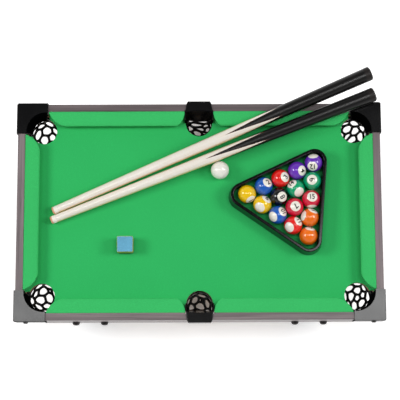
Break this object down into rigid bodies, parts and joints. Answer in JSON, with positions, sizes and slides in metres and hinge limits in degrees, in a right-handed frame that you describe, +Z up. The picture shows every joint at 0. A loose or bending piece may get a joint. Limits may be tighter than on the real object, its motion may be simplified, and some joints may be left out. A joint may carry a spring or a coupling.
{
  "type": "mini pool table",
  "caption": "Tabletop pool table with netted pockets on four bolted legs, laid out with its cues, filled triangle, cue ball and chalk.",
  "frame": {"origin": "under the middle of the whole set as laid out, cue butts included, at the height of the surface that it stands on", "axes": "+X along the table, +Z up, +Y across the table towards the rail that the cues lean on"},
  "size_m": [0.508, 0.3532, 0.1956],
  "materials": {
    "bed_felt": "short green baize, glued flat",
    "cushion_felt": "the same green baize, stretched over the cushions",
    "apron_wood": "grey-brown wood-grain foil on fibreboard",
    "leg_wood": "black foil on fibreboard",
    "bed_board": "raw fibreboard",
    "cleat_wood": "sawn softwood",
    "casting_plastic": "black moulded plastic, satin",
    "net_cord": "black moulded mesh",
    "black_steel": "black-finished steel",
    "zinc_steel": "zinc-plated steel",
    "pad_rubber": "black rubber",
    "rack_plastic": "black moulded plastic, glossy",
    "ball_white": "polished cast resin",
    "ball_yellow": "polished cast resin",
    "ball_blue": "polished cast resin",
    "ball_red": "polished cast resin",
    "ball_purple": "polished cast resin",
    "ball_orange": "polished cast resin",
    "ball_green": "polished cast resin",
    "ball_maroon": "polished cast resin",
    "ball_black": "polished cast resin",
    "cue_wood": "lacquered pale wood, its butt sprayed gloss black with long points",
    "cue_tip_leather": "pressed leather",
    "bumper_rubber": "dark rubber",
    "chalk": "pressed blue chalk",
    "label_paper": "printed paper"
  },
  "bodies": {
    "table": {"back_apron": "apron_wood", "back_left_casting": "casting_plastic", "back_left_cushion": "cushion_felt", "back_left_leg": "leg_wood", "back_left_net": "net_cord", "back_middle_casting": "casting_plastic", "back_middle_net": "net_cord", "back_right_casting": "casting_plastic", "back_right_cushion": "cushion_felt", "back_right_leg": "leg_wood", "back_right_net": "net_cord", "bed_board": "bed_board", "bed_cleats": "cleat_wood", "bed_cloth": "bed_felt", "casting_screws": "black_steel", "cleat_screws": "zinc_steel", "foot_pads": "pad_rubber", "front_apron": "apron_wood", "front_left_casting": "casting_plastic", "front_left_cushion": "cushion_felt", "front_left_leg": "leg_wood", "front_left_net": "net_cord", "front_middle_casting": "casting_plastic", "front_middle_net": "net_cord", "front_right_casting": "casting_plastic", "front_right_cushion": "cushion_felt", "front_right_leg": "leg_wood", "front_right_net": "net_cord", "left_apron": "apron_wood", "left_cushion": "cushion_felt", "leg_bolts": "black_steel", "leg_nuts": "zinc_steel", "right_apron": "apron_wood", "right_cushion": "cushion_felt"},
    "rack": {"rack": "rack_plastic"},
    "upper_cue": {"upper_cue_bumper": "bumper_rubber", "upper_cue_shaft": "cue_wood", "upper_cue_tip": "cue_tip_leather"},
    "lower_cue": {"lower_cue_bumper": "bumper_rubber", "lower_cue_shaft": "cue_wood", "lower_cue_tip": "cue_tip_leather"},
    "chalk": {"chalk_cube": "chalk", "chalk_label": "label_paper"},
    "cue_ball": {"cue_ball": "ball_white"},
    "ball_01": {"ball_01": "ball_yellow"},
    "ball_02": {"ball_02": "ball_blue"},
    "ball_03": {"ball_03": "ball_red"},
    "ball_04": {"ball_04": "ball_purple"},
    "ball_05": {"ball_05": "ball_orange"},
    "ball_06": {"ball_06": "ball_green"},
    "ball_07": {"ball_07": "ball_maroon"},
    "ball_08": {"ball_08": "ball_black"},
    "ball_09": {"ball_09": "ball_yellow"},
    "ball_10": {"ball_10": "ball_blue"},
    "ball_11": {"ball_11": "ball_red"},
    "ball_12": {"ball_12": "ball_purple"},
    "ball_13": {"ball_13": "ball_orange"},
    "ball_14": {"ball_14": "ball_green"},
    "ball_15": {"ball_15": "ball_maroon"}
  },
  "joints": [
    {"name": "rack_lift", "type": "slide", "parent": "table", "child": "rack", "axis": [0, 0, 1], "range_m": [0, 0.09]},
    {"name": "upper_cue_lift", "type": "slide", "parent": "table", "child": "upper_cue", "axis": [0, 0, 1], "range_m": [0, 0.06]},
    {"name": "lower_cue_lift", "type": "slide", "parent": "table", "child": "lower_cue", "axis": [0, 0, 1], "range_m": [0, 0.06]},
    {"name": "chalk_lift", "type": "slide", "parent": "table", "child": "chalk", "axis": [0, 0, 1], "range_m": [0, 0.05]},
    {"name": "cue_ball_roll", "type": "slide", "parent": "table", "child": "cue_ball", "axis": [-0.3, -0.9539, 0], "range_m": [0, 0.16]},
    {"name": "ball_01_lift", "type": "slide", "parent": "table", "child": "ball_01", "axis": [0, 0, 1], "range_m": [0, 0.06]},
    {"name": "ball_02_lift", "type": "slide", "parent": "table", "child": "ball_02", "axis": [0, 0, 1], "range_m": [0, 0.06]},
    {"name": "ball_03_lift", "type": "slide", "parent": "table", "child": "ball_03", "axis": [0, 0, 1], "range_m": [0, 0.06]},
    {"name": "ball_04_lift", "type": "slide", "parent": "table", "child": "ball_04", "axis": [0, 0, 1], "range_m": [0, 0.06]},
    {"name": "ball_05_lift", "type": "slide", "parent": "table", "child": "ball_05", "axis": [0, 0, 1], "range_m": [0, 0.06]},
    {"name": "ball_06_lift", "type": "slide", "parent": "table", "child": "ball_06", "axis": [0, 0, 1], "range_m": [0, 0.06]},
    {"name": "ball_07_lift", "type": "slide", "parent": "table", "child": "ball_07", "axis": [0, 0, 1], "range_m": [0, 0.06]},
    {"name": "ball_08_lift", "type": "slide", "parent": "table", "child": "ball_08", "axis": [0, 0, 1], "range_m": [0, 0.06]},
    {"name": "ball_09_lift", "type": "slide", "parent": "table", "child": "ball_09", "axis": [0, 0, 1], "range_m": [0, 0.06]},
    {"name": "ball_10_lift", "type": "slide", "parent": "table", "child": "ball_10", "axis": [0, 0, 1], "range_m": [0, 0.06]},
    {"name": "ball_11_lift", "type": "slide", "parent": "table", "child": "ball_11", "axis": [0, 0, 1], "range_m": [0, 0.06]},
    {"name": "ball_12_lift", "type": "slide", "parent": "table", "child": "ball_12", "axis": [0, 0, 1], "range_m": [0, 0.06]},
    {"name": "ball_13_lift", "type": "slide", "parent": "table", "child": "ball_13", "axis": [0, 0, 1], "range_m": [0, 0.06]},
    {"name": "ball_14_lift", "type": "slide", "parent": "table", "child": "ball_14", "axis": [0, 0, 1], "range_m": [0, 0.06]},
    {"name": "ball_15_lift", "type": "slide", "parent": "table", "child": "ball_15", "axis": [0, 0, 1], "range_m": [0, 0.06]}
  ]
}
